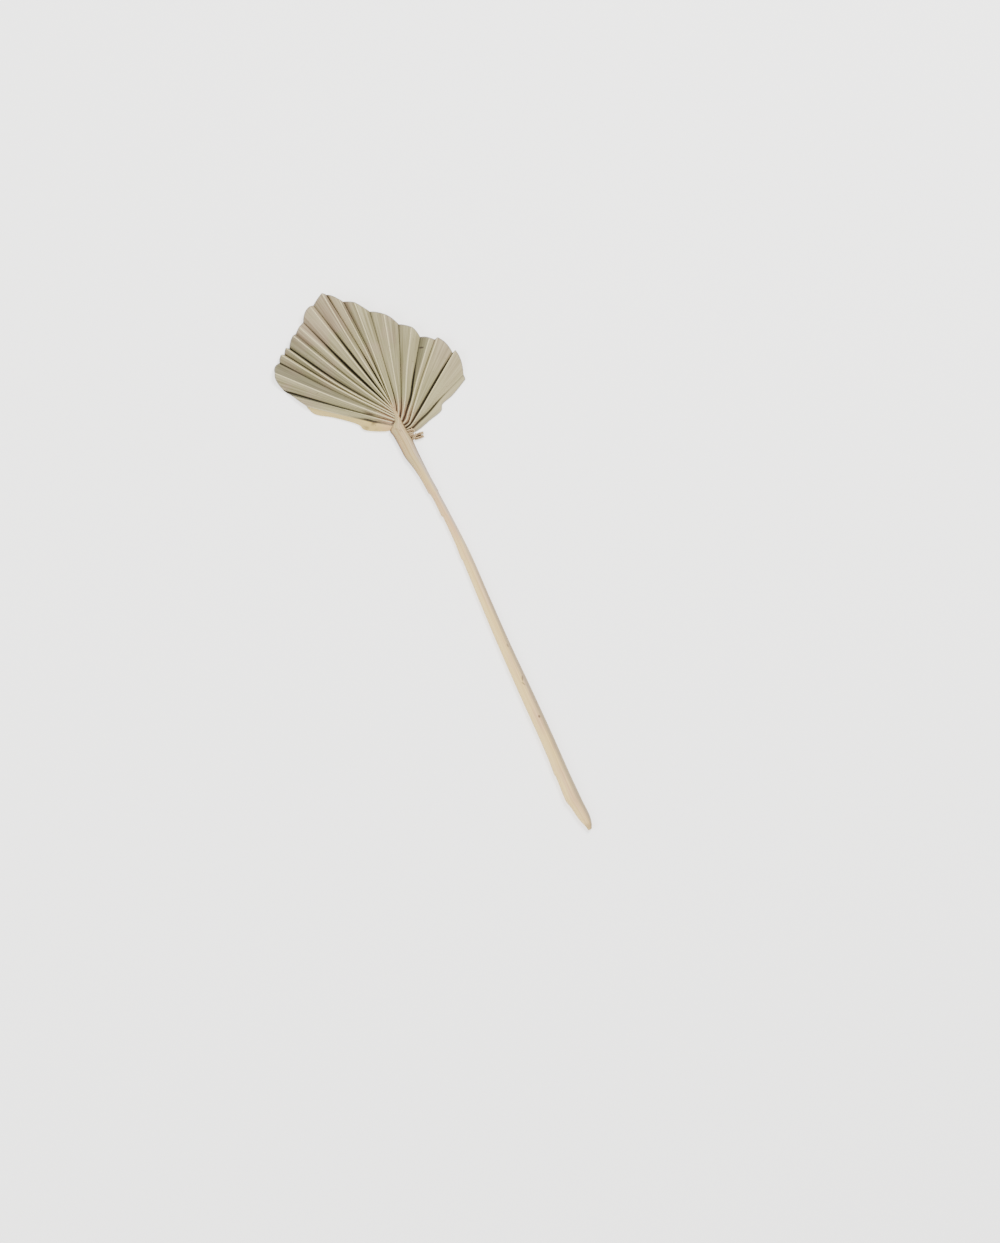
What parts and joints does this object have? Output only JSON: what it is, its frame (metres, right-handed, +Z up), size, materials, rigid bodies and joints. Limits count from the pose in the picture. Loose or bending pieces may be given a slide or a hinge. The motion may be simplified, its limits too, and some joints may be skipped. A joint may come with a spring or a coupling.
{
  "type": "fan palm leaf",
  "caption": "Dried fan palm leaf trimmed to a short pleated fan with a scalloped edge, on a long stem with a tapered cut end, lying with its ribbed back up.",
  "frame": {"origin": "the surface that the leaf lies on, under the middle of the leaf's bounding box", "axes": "+Y from the cut end of the stem to the tip of the fan, +Z up out of the surface, +X to the leaf's right seen from above"},
  "size_m": [0.1392, 0.4782, 0.0125],
  "materials": {
    "dried_blade": "matte, dry leaf skin with fine parallel veins",
    "dried_stem": "satin, dry stem skin with a lengthwise grain"
  },
  "bodies": {
    "root": {"blade": "dried_blade", "petiole": "dried_stem"}
  },
  "joints": []
}
